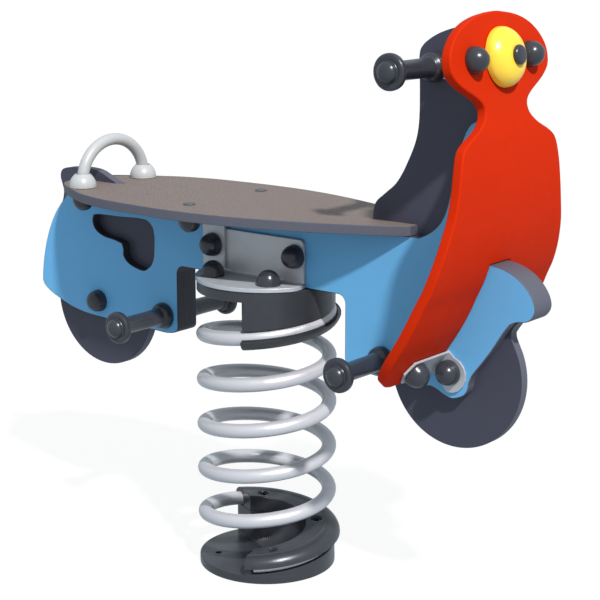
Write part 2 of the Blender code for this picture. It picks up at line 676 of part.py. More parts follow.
SHIELD_HALF = [  # height and half width, from the foot of a leg to the top of the head
    (0.3300, 0.1080), (0.3340, 0.1240), (0.3450, 0.1370), (0.3640, 0.1450), (0.3830, 0.1475),
    (0.4100, 0.1475), (0.4400, 0.1450), (SLOT_TOP, 0.1395), (0.5200, 0.1305), (0.5450, 0.1230),
    (0.5720, 0.1170), (0.5950, 0.1130), (0.6150, 0.1085), (0.6290, 0.1020), (0.6390, 0.0870),
    (0.6480, 0.0680), (0.6590, 0.0530), (0.6690, 0.0478), (0.6780, 0.0510), (0.6870, 0.0640),
    (0.6980, 0.0860), (0.7080, 0.1010), (0.7190, 0.1085), (0.7360, 0.1080), (0.7510, 0.0985),
    (0.7640, 0.0830), (0.7740, 0.0620), (0.7805, 0.0360), (0.7840, 0.0060)]


def make_shield():
    """Curved sheet built level by level; below SLOT_TOP it is two legs."""
    levels = curve(SHIELD_HALF, 2) + [SHIELD_HALF[-1]]
    bm = bmesh.new()

    def row(height, places):
        return [bm.verts.new((0, y, height)) for y in places]

    below = None
    for height, half in levels:
        slot = SLOT_HALF_WIDTH + max(0.0, 0.3340 - height)
        legs = height < SLOT_TOP + GAP
        above = row(height, (-half, -slot, slot, half) if legs else (-half, half))
        if below and legs:
            bm.faces.new((*below[:2], above[1], above[0]))
            bm.faces.new((*below[2:], above[3], above[2]))
        elif below:
            bm.faces.new((*below, *reversed(above)))
        below = above
    back = bmesh.ops.extrude_face_region(bm, geom=bm.faces[:])["geom"]
    behind = {item for item in back if isinstance(item, bmesh.types.BMVert)}
    for vert in bm.verts:
        height = vert.co.z
        bent = shield_front(height)
        if vert in behind:
            bent = bent - shield_normal(height) * SHEET
        vert.co = (bent.x, vert.co.y, bent.z)
    return finish(bm, "shield", "red_panel", smooth_angle=25)


def make_headlamp():
    height = HEAD_CAP[1]
    forward = shield_normal(height)
    base = shield_front(height) + forward * 2 * GAP
    bulge = [(LAMP_RADIUS * math.cos(angle),
              LAMP_RIM + (LAMP_HEIGHT - LAMP_RIM) * math.sin(angle))
             for angle in map(math.radians, (0, 20, 40, 56))]
    profile = [(0, 0), (LAMP_RADIUS - 0.001, 0), *bulge, (LAMP_FLAT, LAMP_FACE), (0, LAMP_FACE)]
    stand(turned("headlamp", profile, "yellow_plastic", segments=24), base, forward)
    button = turned("headlamp_cap", LAMP_BUTTON, "dark_plastic", segments=14)
    stand(button, base + forward * (LAMP_FACE + GAP), forward)
    for side, sign in sides():
        dome_cap(f"head_cap_{side}", base + Vector((0, sign * HEAD_CAP[0], 0)), forward, CAP_FLAT)


def make_head_brackets():
    """Steel angles from the handlebar's flanges to the back of the shield's head."""
    x, z = HANDLEBAR
    inner = HALF_SHEET + GAP
    outer = inner + THIN_STEEL
    low, high = HEAD_BRACKET_SPAN
    back_low, back_high = (shield_back(height)[0] - 2 * GAP for height in HEAD_BRACKET_SPAN)
    lean = back_high - back_low
    section = [(x - HEAD_BRACKET_EDGE, inner), (x - HEAD_BRACKET_EDGE, outer),
               (back_low - THIN_STEEL, outer), (back_low - THIN_STEEL, HEAD_BRACKET_REACH),
               (back_low, HEAD_BRACKET_REACH), (back_low, inner)]
    for side, sign in sides():
        bm = bmesh.new()
        lower = [bm.verts.new((u, sign * v, low)) for u, v in section]
        upper = [bm.verts.new((u + (lean if i > 1 else 0), sign * v, high))
                 for i, (u, v) in enumerate(section)]
        bm.faces.new(lower)
        bm.faces.new(list(reversed(upper)))
        for i in range(len(lower)):
            j = (i + 1) % len(lower)
            bm.faces.new((lower[i], upper[i], upper[j], lower[j]))
        bracket = finish(bm, f"head_bracket_{side}", "steel")
        boolean(bracket, bore(f"head_bracket_hole_{side}", (x, sign * inner, z), (0, 1, 0),
                              ROD_HOLE, 0.02))


def make_fork_brackets():
    """Bent steel plates that hold the shield's legs to the fork, with their caps."""
    inner = STACK + GAP
    outer = inner + THIN_STEEL
    x, z = FORK_BOLT
    normal = shield_normal(LEG_CAP_Z)
    foot, top = (shield_front(height) + shield_normal(height) * 2 * GAP
                 for height in FORK_BRACKET_SPAN)
    ear = [(foot.x, foot.z), *arc((x, z - FORK_EAR_DROP), FORK_EAR_RADIUS, -100, 75, 8),
           (top.x, top.z)]
    trim = Vector((0.0008, 0, 0.0010))
    low = foot + normal * GAP + trim
    high = top + normal * GAP - trim
    middle = (low + high) / 2
    root = inner + 0.0010
    reach = LEG_CAP_Y + FORK_WING_EDGE
    wing_ring = [(low, root), (high, root), (high, reach), (middle, reach + FORK_WING_TIP),
                 (low, reach)]
    cap_seat = shield_front(LEG_CAP_Z) + normal * (THIN_STEEL + 0.0020)
    for side, sign in sides():
        bracket = prism(f"fork_bracket_{side}", [(u, sign * inner, w) for u, w in ear],
                        (0, sign * THIN_STEEL, 0), "steel")
        wing = prism(f"fork_wing_{side}", [(point.x, sign * y, point.z) for point, y in wing_ring],
                     normal * THIN_STEEL, "steel")
        boolean(bracket, hide(wing), "UNION")
        boolean(bracket, bore(f"fork_bracket_hole_{side}", (x, sign * inner, z), (0, 1, 0),
                              HOLE_RADIUS, 0.02))
        dome_cap(f"fork_cap_{side}", (x, sign * (outer + GAP), z), (0, sign, 0))
        dome_cap(f"leg_cap_{side}", cap_seat + Vector((0, sign * LEG_CAP_Y, 0)), normal, CAP_FLAT)
    cross_bolt("fork_bolt", x, z, outer + GAP)


# ---------------------------------------------------------------- joints

def bending_centre(name, parent=None):
    """Empty at the spring's middle, where the axes of both joints cross."""
    centre = bpy.data.objects.new(name, None)
    if parent:
        centre.parent = parent
    else:
        centre.location = PIVOT
    bpy.context.scene.collection.objects.link(centre)
    return centre


def hang_on_joints():
    """Sideways joint for the spring, and the fore-and-aft one for all that it carries."""
    pieces = list(bpy.context.scene.objects)
    sideways = bending_centre("rock_side")
    lengthways = bending_centre("rock_fore_aft", sideways)
    for piece in pieces:
        if piece.name.startswith(STANDS_STILL):
            continue
        piece.parent = sideways if piece.name == "coil_spring" else lengthways
        piece.matrix_parent_inverse = Matrix.Translation(-Vector(PIVOT))


def main():
    clear_scene()
    make_spring()
    head = make_fittings()
    make_spring_plates(head)
    make_panels()
    make_brackets()
    make_body_bolts()
    seat_low = make_seat()
    make_seat_fixings(seat_low)
    make_arch(seat_low)
    make_grips("handlebar", HANDLEBAR, HALF_SHEET + GAP + THIN_STEEL, "handlebar_grip")
    make_grips("rear_footrest", REAR_FOOTREST, STACK, "rear_footrest")
    make_grips("front_footrest", FRONT_FOOTREST, STACK, "front_footrest")
    make_shield()
    make_headlamp()
    make_head_brackets()
    make_fork_brackets()
    hang_on_joints()


main()
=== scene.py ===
import json
import math

import bmesh
import bpy
import numpy as np
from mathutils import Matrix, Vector

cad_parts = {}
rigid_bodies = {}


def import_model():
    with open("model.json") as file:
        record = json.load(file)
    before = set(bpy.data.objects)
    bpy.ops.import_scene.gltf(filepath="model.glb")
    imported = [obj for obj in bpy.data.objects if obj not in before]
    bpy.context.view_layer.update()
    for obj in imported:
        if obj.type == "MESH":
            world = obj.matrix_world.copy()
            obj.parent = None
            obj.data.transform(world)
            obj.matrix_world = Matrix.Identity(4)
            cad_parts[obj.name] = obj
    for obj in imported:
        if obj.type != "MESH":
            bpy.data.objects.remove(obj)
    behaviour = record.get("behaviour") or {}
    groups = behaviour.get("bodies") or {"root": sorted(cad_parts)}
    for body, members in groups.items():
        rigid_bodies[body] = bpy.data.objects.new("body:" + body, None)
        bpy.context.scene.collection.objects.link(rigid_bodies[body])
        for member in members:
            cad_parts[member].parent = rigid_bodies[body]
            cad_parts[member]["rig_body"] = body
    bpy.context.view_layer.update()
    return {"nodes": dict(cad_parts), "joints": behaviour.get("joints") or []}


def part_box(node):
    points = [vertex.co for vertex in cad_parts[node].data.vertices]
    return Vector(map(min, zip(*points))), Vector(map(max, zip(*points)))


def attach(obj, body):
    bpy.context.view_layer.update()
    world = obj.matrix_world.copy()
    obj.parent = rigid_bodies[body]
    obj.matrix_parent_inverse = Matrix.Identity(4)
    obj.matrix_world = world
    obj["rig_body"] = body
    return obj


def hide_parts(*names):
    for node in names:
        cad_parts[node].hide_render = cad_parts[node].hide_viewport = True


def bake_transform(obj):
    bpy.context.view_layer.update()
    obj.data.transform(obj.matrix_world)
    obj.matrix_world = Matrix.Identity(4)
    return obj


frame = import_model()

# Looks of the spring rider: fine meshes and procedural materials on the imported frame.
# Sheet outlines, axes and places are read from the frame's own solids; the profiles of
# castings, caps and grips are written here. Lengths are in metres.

NODES = frame["nodes"]
SIDES = ("right", "left")
ENDS = ("front", "rear")
UP = Vector((0, 0, 1))

# The spring, as in the frame
WIRE_RADIUS = 0.010
WIRE_START = 298.0               # degrees from +X, seen from above
WIRE_START_HEIGHT = 0.0237
WIRE_TIP = 0.5                   # degrees of the small bevel at each end
COIL_DEGREES = 2013.0
COIL_RADIUS = 0.0875             # axis to wire centre
COIL_STEP = 7.5                  # degrees between the wire's rings
COIL_MIDDLE = frame["joints"][0]["pos_m"][2]
PITCH = 0.0647

# The castings at the spring's ends; heights are from the wire's centre, away from the disc
CLAMPS = {"base": (-6.5, 219.0), "top": (COIL_DEGREES - 221.0, COIL_DEGREES)}
DISC_THICKNESS = {"base": 0.0115, "top": 0.0145}
DISC_ROUNDING = 0.0012
FITTING_INNER = 0.0550
FITTING_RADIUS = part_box("base_flange")[1].y
RAMP_TOP = -0.0103
RAMP_ROUNDING = 0.0010
CLAMP_RADIUS = 0.1035
CLAMP_LIPS = {"base": -0.0005, "top": 0.0030}
CLAMP_FOOT = -0.0101             # just clear of the ramp
CLAMP_ROOF = 0.0133
BULGE_RADIUS = 0.0160            # outside of the hook around the wire
HOLLOW_RADIUS = 0.0108           # inside of it
ANCHOR_OFFSET = 0.0495
ANCHOR_RADIUS = 0.0045
SPOT_RADIUS = 0.0085             # machined seat for the washer of an anchor bolt
SPOT_DEPTH = 0.0017
REACH = 0.08                     # far enough for a tool to pass through a casting

SHEET = 0.0130
LAYERS = 34.0                    # paper layers that show across a sheet's edge
DECK_PITCH = 0.0036
BEND_STEP = 0.006                # height between the shield's bend lines
LARGEST_BORE = 0.016             # an inner loop of a sheet below this size is a round hole

# Nut covers and the bolts in them
CAP_RADIUS = 0.0165
CAP_HEIGHT = 0.0205
CAP_HOLLOW = [(0, 0.0086), (0.0091, 0.0086), (0.0091, 0)]
BOLT_RADIUS = 0.0050
BOLT_HOLE = 0.0055


# ---------------------------------------------------------------- materials

def linear(colour):
    """Scene-linear colour from an sRGB triple of 0 to 255."""
    scaled = [value / 255 for value in colour]
    return tuple(v / 12.92 if v <= 0.04045 else ((v + 0.055) / 1.055) ** 2.4 for v in scaled)


class Paint:
    """A Principled material with a few short ways to add texture nodes."""

    def __init__(self, name, colour, roughness, metallic=0.0, specular=0.5):
        self.material = bpy.data.materials.new(name)
        self.material.use_nodes = True
        self.tree = self.material.node_tree
        self.shader = self.tree.nodes["Principled BSDF"]
        self.base = linear(colour)
        self.set("Base Color", (*self.base, 1))
        self.set("Roughness", roughness)
        self.set("Metallic", metallic)
        self.set("Specular IOR Level", specular)
        self.place = self.node("ShaderNodeTexCoord").outputs["Object"]
        self.relief = None

    def set(self, socket, value):
        self.shader.inputs[socket].default_value = value

    def node(self, kind, **settings):
        made = self.tree.nodes.new(kind)
        for key, value in settings.items():
            setattr(made, key, value)
        return made

    def link(self, source, target):
        self.tree.links.new(source, target)

    def stretched(self, scale):
        """Object coordinates multiplied by a scale for each axis."""
        mapping = self.node("ShaderNodeMapping")
        mapping.inputs["Scale"].default_value = scale
        self.link(self.place, mapping.inputs["Vector"])
        return mapping.outputs["Vector"]

    def noise(self, scale, detail=3.0, roughness=0.5, vector=None):
        texture = self.node("ShaderNodeTexNoise")
        texture.inputs["Scale"].default_value = scale
        texture.inputs["Detail"].default_value = detail
        texture.inputs["Roughness"].default_value = roughness
        self.link(vector or self.place, texture.inputs["Vector"])
        return texture.outputs["Fac"]

    def spread(self, value, low, high, start=0.3, end=0.7):
        """Map a factor between start and end to low and high."""
        ranged = self.node("ShaderNodeMapRange")
        for name, number in (("From Min", start), ("From Max", end), ("To Min", low),
                             ("To Max", high)):
            ranged.inputs[name].default_value = number
        self.link(value, ranged.inputs["Value"])
        return ranged.outputs["Result"]

    def math(self, operation, first, second=None):
        made = self.node("ShaderNodeMath", operation=operation)
        for socket, value in zip(made.inputs, (first, second)):
            if isinstance(value, (int, float)):
                socket.default_value = value
            elif value is not None:
                self.link(value, socket)
        return made.outputs["Value"]

    def tint(self, factor, colour):
        """Mix the colour so far towards another one by a factor."""
        mix = self.node("ShaderNodeMix", data_type="RGBA")
        mix.inputs["B"].default_value = (*linear(colour), 1)
        socket = self.shader.inputs["Base Color"]
        if socket.is_linked:
            self.link(socket.links[0].from_socket, mix.inputs["A"])
        else:
            mix.inputs["A"].default_value = (*self.base, 1)
        self.link(factor, mix.inputs["Factor"])
        self.link(mix.outputs["Result"], socket)

    def vary_roughness(self, factor, low, high):
        self.link(self.spread(factor, low, high), self.shader.inputs["Roughness"])

    def bump(self, height, distance):
        """Add relief; distance is its depth in metres."""
        made = self.node("ShaderNodeBump")
        made.inputs["Distance"].default_value = distance
        self.link(height, made.inputs["Height"])
        if self.relief:
            self.link(self.relief, made.inputs["Normal"])
        self.relief = made.outputs["Normal"]
        self.link(self.relief, self.shader.inputs["Normal"])


def laminate(name, colour, light, dark):
    """Decor face of a compact laminate: fine pearl grain and faint mottling."""
    paint = Paint(name, colour, 0.40, specular=0.25)
    paint.tint(paint.spread(paint.noise(9, 4), 0.0, 0.30), light)
    paint.tint(paint.spread(paint.noise(55, 5, 0.6), 0.0, 0.22), dark)
    paint.vary_roughness(paint.noise(30, 4), 0.34, 0.46)
    paint.bump(paint.noise(1100, 2), 0.00006)
    return paint.material


def laminate_edge(name, colour, light, dark, painted_shade_colour):
    """Sawn edge of the laminate: thin paper layers, with painted shade on the edges inside the
    notch and the windows.
    """
    paint = Paint(name, colour, 0.58)
    depth = paint.node("ShaderNodeAttribute", attribute_name="depth").outputs["Fac"]
    along = paint.node("ShaderNodeCombineXYZ")
    paint.link(paint.math("MULTIPLY", depth, LAYERS), along.inputs["X"])
    paint.link(paint.noise(18, 2), along.inputs["Y"])
    layers = paint.noise(1.0, 2, vector=along.outputs["Vector"])
    paint.tint(paint.spread(layers, 0.0, 0.20, 0.42, 0.62), light)
    paint.tint(paint.spread(paint.noise(150, 4, 0.6), 0.0, 0.25, 0.45, 0.75), dark)
    # Painted shade on the edges in the notch and the windows fades in and out between these lengths
    # along X, and these heights
    rear, front, foot, top = (-0.370, -0.360), (0.158, 0.164), (0.295, 0.320), (0.470, 0.485)
    axes = paint.node("ShaderNodeSeparateXYZ")
    paint.link(paint.place, axes.inputs["Vector"])
    lengthwise = paint.math("MULTIPLY", paint.spread(axes.outputs["X"], 1.0, 0.0, *front),
                            paint.spread(axes.outputs["X"], 0.0, 1.0, *rear))
    upright = paint.math("MULTIPLY", paint.spread(axes.outputs["Z"], 0.0, 1.0, *foot),
                         paint.spread(axes.outputs["Z"], 1.0, 0.0, *top))
    paint.tint(paint.math("MULTIPLY", lengthwise, upright), painted_shade_colour)
    paint.bump(layers, 0.00004)
    paint.bump(paint.noise(700, 3), 0.00008)
    return paint.material


def deck_top(name):
    """Anti-slip deck: a fine square mesh of raised studs over a taupe laminate, with painted shade
    in the grooves between them.
    """
    paint = Paint(name, (134, 117, 109), 0.62)
    axes = paint.node("ShaderNodeSeparateXYZ")
    paint.link(paint.place, axes.inputs["Vector"])
    waves = [paint.math("ABSOLUTE", paint.math("SINE", paint.math(
        "MULTIPLY", axes.outputs[axis], math.pi / DECK_PITCH))) for axis in ("X", "Y")]
    studs = paint.math("MINIMUM", *waves)
    groove = paint.spread(studs, 0.95, 0.0, 0.15, 0.60)
    paint.tint(paint.spread(paint.noise(14, 4), 0.0, 0.35), (141, 124, 114))
    paint.tint(paint.spread(paint.noise(70, 5), 0.0, 0.25), (122, 106, 100))
    # painted shade: the grooves between the studs are tinted dark
    paint.tint(groove, (56, 48, 47))
    paint.bump(studs, 0.0006)
    paint.bump(paint.noise(900, 2), 0.00008)
    return paint.material


def solid_plastic(name, colour, light, dark, roughness, grain, specular=0.5):
    """Through-coloured sheet or moulding with a fine grain."""
    paint = Paint(name, colour, roughness, specular=specular)
    paint.tint(paint.spread(paint.noise(7, 3), 0.0, 0.35), light)
    paint.tint(paint.spread(paint.noise(45, 5), 0.0, 0.20), dark)
    paint.vary_roughness(paint.noise(60, 4), roughness - 0.05, roughness + 0.06)
    paint.bump(paint.noise(grain, 2), 0.00008)
    return paint.material


def powder_coat(name, colour, shade, roughness, metallic, flow):
    """Sprayed coat: soft orange peel over the metal."""
    paint = Paint(name, colour, roughness, metallic)
    paint.tint(paint.spread(paint.noise(24, 4), 0.0, 0.25), shade)
    paint.vary_roughness(paint.noise(80, 3), roughness - 0.05, roughness + 0.07)
    paint.bump(paint.noise(flow, 2), 0.00004)
    return paint.material


def zinc(name, colour, light, dark, roughness, metallic):
    """Zinc-plated steel: rolled streaks and cloudy patches."""
    paint = Paint(name, colour, roughness, metallic)
    streaks = paint.noise(1.0, 4, 0.6, vector=paint.stretched((30, 260, 420)))
    paint.tint(paint.spread(streaks, 0.0, 0.5), light)
    paint.tint(paint.spread(paint.noise(42, 5, 0.65), 0.0, 0.45), dark)
    paint.vary_roughness(streaks, roughness - 0.06, roughness + 0.10)
    paint.bump(streaks, 0.00005)
    return paint.material


def casting(name):
    """Sand casting under satin paint."""
    paint = Paint(name, (46, 47, 51), 0.32)
    paint.tint(paint.spread(paint.noise(20, 4), 0.0, 0.3), (53, 54, 59))
    paint.tint(paint.spread(paint.noise(90, 5), 0.0, 0.3), (39, 40, 44))
    paint.vary_roughness(paint.noise(50, 4), 0.26, 0.38)
    paint.bump(paint.noise(420, 4, 0.6), 0.00012)
    return paint.material


LOOKS = {
    "blue": laminate("blue_laminate", (97, 163, 207), (103, 168, 212), (91, 156, 200)),
    "dark": laminate("dark_laminate", (62, 62, 75), (69, 69, 82), (55, 55, 67)),
    # the edge's last colour is painted shade for its edges inside the notch and the windows
    "edge": laminate_edge("laminate_edge", (77, 77, 88), (86, 86, 97), (69, 69, 79),
                          (48, 46, 55)),
    "deck": deck_top("deck_top"),
    "red": solid_plastic("red_sheet", (184, 38, 6), (190, 42, 8), (176, 34, 5), 0.55, 500, 0.03),
    "yellow": solid_plastic("yellow_moulding", (236, 196, 56), (240, 203, 70), (229, 187, 44),
                            0.24, 700),
    "plastic": solid_plastic("dark_moulding", (46, 47, 53), (52, 53, 59), (41, 42, 48), 0.26, 900),
    "spring": powder_coat("spring_coat", (191, 189, 192), (185, 183, 187), 0.34, 0.35, 260),
    "arch": powder_coat("arch_coat", (168, 168, 167), (161, 161, 161), 0.36, 0.0, 380),
    # Painted light: two copies of one zinc, toned for how light falls on them; the first is
    # lightened against the seat's shade on the brackets, the second is for the plates, angles and
    # fork brackets in the sun
    "steel": zinc("zinc_sheet", (192, 191, 193), (203, 202, 204), (178, 177, 180), 0.44, 0.35),
    "zinc_toned_for_sun": zinc("zinc_sheet_toned_for_sun", (180, 181, 185), (192, 193, 196), (165, 166, 171),
                         0.40, 0.35),
    "bolt": zinc("zinc_bolt", (170, 172, 177), (190, 192, 196), (146, 148, 154), 0.36, 0.75),
    "dull_bolt": zinc("dull_zinc_bolt", (96, 96, 101), (108, 108, 113), (82, 82, 87), 0.42, 0.5),
    "iron": casting("painted_casting"),
}


# ---------------------------------------------------------------- reading the frame

def faces_of(node):
    """Triangles of a CAD node as corner points, with their normals and areas."""
    mesh = NODES[node].data
    points = np.array([v.co for v in mesh.vertices])
    mesh.calc_loop_triangles()
    corners = points[np.array([t.vertices for t in mesh.loop_triangles])]
    cross = np.cross(corners[:, 1] - corners[:, 0], corners[:, 2] - corners[:, 0])
    doubled = np.linalg.norm(cross, axis=1)
    return corners, cross / np.maximum(doubled, 1e-12)[:, None], doubled / 2


def borders(corners):
    """Closed border loops of a patch of triangles."""
    key = {}
    names = [[key.setdefault(tuple(np.round(p, 6)), len(key)) for p in face] for face in corners]
    points = [np.array(p) for p in key]
    used = {(face[i], face[(i + 1) % 3]) for face in names for i in range(3)}
    following = {a: b for a, b in used if (b, a) not in used}
    loops = []
    while following:
        start, at = following.popitem()
        loop = [start]
        while at != start:
            loop.append(at)
            at = following.pop(at)
        loops.append(np.array([points[i] for i in loop]))
    return sorted(loops, key=lambda loop: -np.ptp(loop, axis=0).max())


def flat_side(node, direction):
    """Border loops of a node's outermost face towards a direction."""
    corners, normals, _ = faces_of(node)
    facing = normals @ np.array(direction) > 0.999
    heights = corners.mean(axis=1) @ np.array(direction)
    return borders(corners[facing & (heights > heights[facing].max() - 1e-5)])


def seating(node):
    """Centre of a turned piece's flat underside, and its axis pointing away from it."""
    corners, normals, areas = faces_of(node)
    levels = (corners[:, 0] * normals).sum(axis=1)
    same = (normals @ normals.T > 0.99999) & (abs(levels[:, None] - levels[None]) < 5e-5)
    largest = same[(same @ areas).argmax()]
    rim = corners[largest].reshape(-1, 3)
    return (Vector((rim.min(axis=0) + rim.max(axis=0)) / 2),
            -Vector(normals[largest].mean(axis=0)).normalized())


# ---------------------------------------------------------------- outlines and profiles

def arc(centre, radius, start, end, steps=8):
    """Points on a circle from start to end degrees, both included."""
    angles = np.radians(np.linspace(start, end, steps + 1))
    return [(centre[0] + radius * math.cos(a), centre[1] + radius * math.sin(a)) for a in angles]


def through(points, steps=6):
    """Smooth open curve through points, by chord length."""
    return spline([np.array(p, float) for p in points], steps, closed=False)


def spline(points, steps, closed, corner=40.0, straight=0.03):
    """Curve through points; sharp corners stay, and long runs stay straight."""
    count = len(points)
    tangents_in, tangents_out = [], []
    for i, here in enumerate(points):
        before = points[i - 1] if closed or i else here
        after = points[(i + 1) % count] if closed or i + 1 < count else here
        back, ahead = here - before, after - here
        t0, t1 = np.linalg.norm(back), np.linalg.norm(ahead)
        if t0 < 1e-9 or t1 < 1e-9:
            unit = ahead / t1 if t0 < 1e-9 else back / t0
            tangents_in.append(unit)
            tangents_out.append(unit)
            continue
        back, ahead = back / t0, ahead / t1
        turn = math.degrees(math.acos(max(-1.0, min(1.0, float(back @ ahead)))))
        if turn > corner:
            tangents_in.append(back)
            tangents_out.append(ahead)
            continue
        if t0 > straight or t1 > straight:
            tangent = back if t0 > t1 else ahead
        else:
            tangent = (back * t1 + ahead * t0) / (t0 + t1)
        tangents_in.append(tangent)
        tangents_out.append(tangent)
    result = []
    for i in range(count if closed else count - 1):
        a, b = points[i], points[(i + 1) % count]
        length = np.linalg.norm(b - a)
        m0, m1 = tangents_out[i] * length, tangents_in[(i + 1) % count] * length
        number = steps if length <= straight else 1
        for step in range(number):
            t = step / number
            result.append((2 * t ** 3 - 3 * t ** 2 + 1) * a + (t ** 3 - 2 * t ** 2 + t) * m0
                          + (3 * t ** 2 - 2 * t ** 3) * b + (t ** 3 - t ** 2) * m1)
    if not closed:
        result.append(points[-1])
    return [tuple(p) for p in result]


def fine_loops(loops, axes, steps=4):
    """CAD loops as smooth outlines in two axes, the first one anticlockwise; round holes exact."""
    result = []
    for index, loop in enumerate(loops):
        flat = loop[:, axes]
        low, high = flat.min(axis=0), flat.max(axis=0)
        if index and (high - low).max() < LARGEST_BORE:
            radius = np.linalg.norm(flat - (low + high) / 2, axis=1).max()
            ring = arc((low + high) / 2, radius, 0, 360, 36)[:-1]
        else:
            ring = spline(list(flat), steps, closed=True)
        ring = np.array(ring)
        following = np.roll(ring, -1, axis=0)
        area = (ring[:, 0] * following[:, 1] - ring[:, 1] * following[:, 0]).sum()
        if (area > 0) == bool(index):
            ring = ring[::-1]
        result.append(ring)
    return result


def inset(ring, distance):
    """Move each point of a closed ring to its left by a distance."""
    back = ring - np.roll(ring, 1, axis=0)
    ahead = np.roll(ring, -1, axis=0) - ring
    back /= np.linalg.norm(back, axis=1)[:, None]
    ahead /= np.linalg.norm(ahead, axis=1)[:, None]
    left = np.stack([-(back + ahead)[:, 1], (back + ahead)[:, 0]], axis=1)
    left /= np.maximum(np.linalg.norm(left, axis=1), 1e-9)[:, None]
    slant = np.abs((left * np.stack([-ahead[:, 1], ahead[:, 0]], axis=1)).sum(axis=1))
    return ring + left * (distance / np.maximum(slant, 0.5))[:, None]


# ---------------------------------------------------------------- making pieces

def placed(name, data):
    """New object in the scene."""
    made = bpy.data.objects.new(name, data)
    bpy.context.scene.collection.objects.link(made)
    return made


def link(bm, name, looks, smooth=38):
    """New object from a bmesh, smooth but for its sharp edges."""
    bmesh.ops.recalc_face_normals(bm, faces=bm.faces)
    mesh = bpy.data.meshes.new(name)
    bm.to_mesh(mesh)
    bm.free()
    mesh.shade_smooth()
    mesh.set_sharp_from_angle(angle=math.radians(smooth))
    for look in looks:
        mesh.materials.append(LOOKS[look])
    return placed(name, mesh)


def stands_for(piece, node, weighted=True):
    """Put a fine piece in a CAD node's place, with that node's body."""
    if weighted:
        piece.modifiers.new("weighted_normals", "WEIGHTED_NORMAL").keep_sharp = True
    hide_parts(node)
    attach(piece, NODES[node]["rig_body"])


def combine(target, tool, operation="DIFFERENCE"):
    """Apply a Boolean to the target's mesh and remove the tool."""
    modifier = target.modifiers.new("cut", "BOOLEAN")
    modifier.operation = operation
    modifier.object = tool
    modifier.solver = "EXACT"
    graph = bpy.context.evaluated_depsgraph_get()
    mesh = bpy.data.meshes.new_from_object(target.evaluated_get(graph))
    target.modifiers.remove(modifier)
    old = target.data
    target.data = mesh
    bpy.data.meshes.remove(old)
    bpy.data.objects.remove(tool)


def drill(target, centre, axis, radius, depth, look):
    """Round hole that reaches a depth to both sides of a point."""
    rod = [(0, -depth), (radius, -depth), (radius, depth), (0, depth)]
    combine(target, turned("drill", rod, centre, axis, look, 32))


def turned(name, profile, centre, axis, look, segments=48):
    """Solid of revolution from (radius, height) points about an axis through a centre."""
    bm = bmesh.new()
    side = axis.orthogonal().normalized()
    other = axis.cross(side)
    rings = []
    for radius, height in profile:
        middle = centre + axis * height
        if radius < 1e-7:
            rings.append([bm.verts.new(middle)])
            continue
        rings.append([bm.verts.new(middle + side * radius * math.cos(a)
                                   + other * radius * math.sin(a))
                      for a in np.linspace(0, math.tau, segments, endpoint=False)])
    closed = len(rings[0]) > 1
    for first, second in zip(rings, rings[1:] + rings[:1] * closed):
        for i in range(segments):
            j = (i + 1) % segments
            corners = [first[i % len(first)], first[j % len(first)],
                       second[j % len(second)], second[i % len(second)]]
            bm.faces.new(list(dict.fromkeys(corners)))
    return link(bm, name, [look])


def sweep(name, rings, look, smooth=38):
    """Closed body through equal rings of points, with flat ends."""
    bm = bmesh.new()
    rows = [[bm.verts.new(point) for point in ring] for ring in rings]
    for first, second in zip(rows, rows[1:]):
        for i in range(len(first)):
            j = (i + 1) % len(first)
            bm.faces.new((first[i], first[j], second[j], second[i]))
    bm.faces.new(rows[0])
    bm.faces.new(list(reversed(rows[-1])))
    return link(bm, name, [look], smooth)


def slab(name, loops, place, thickness, looks, rounding=(0.0012, 0.0012), bend=None):
    """Sheet with rounded edges; place(u, v, depth) gives a point, and bend may move it after.

    looks are for the face at depth 0, the edges, and the face at full depth; rounding is the
    radius at the first face and at the last one.
    """
    bm = bmesh.new()
    depths = bm.verts.layers.float.new("depth")
    quarter = [(1 - math.sin(a), 1 - math.cos(a)) for a in np.radians([0, 30, 60, 90])]
    near, far = rounding
    section = [(near * back, near * deep) for back, deep in quarter]
    section += [(far * back, thickness - far * deep) for back, deep in reversed(quarter)]
    faces = ([], [])
    for loop in loops:
        rows = []
        for back, depth in section:
            row = []
            for u, v in inset(loop, back):
                vert = bm.verts.new(place(u, v, depth))
                vert[depths] = depth / SHEET
                row.append(vert)
            rows.append(row)
        for first, second in zip(rows, rows[1:]):
            for i in range(len(first)):
                j = (i + 1) % len(first)
                bm.faces.new((first[i], first[j], second[j], second[i])).material_index = 1
        for edges, row in zip(faces, (rows[0], rows[-1])):
            edges += [bm.edges.get((a, b)) for a, b in zip(row, row[1:] + row[:1])]
    for index, edges in zip((0, 2), faces):
        filled = bmesh.ops.triangle_fill(bm, use_beauty=True, use_dissolve=False, edges=edges)
        for item in filled["geom"]:
            if isinstance(item, bmesh.types.BMFace):
                item.material_index = index
    if bend:
        bend(bm)
    return link(bm, name, looks)


# ---------------------------------------------------------------- spring and castings

def on_turn(along, radius, height):
    """Point beside the wire after some degrees of turning; height is from the wire's centre."""
    angle = math.radians(WIRE_START + along)
    return Vector((radius * math.cos(angle), radius * math.sin(angle),
                   WIRE_START_HEIGHT + PITCH * along / 360 + height))


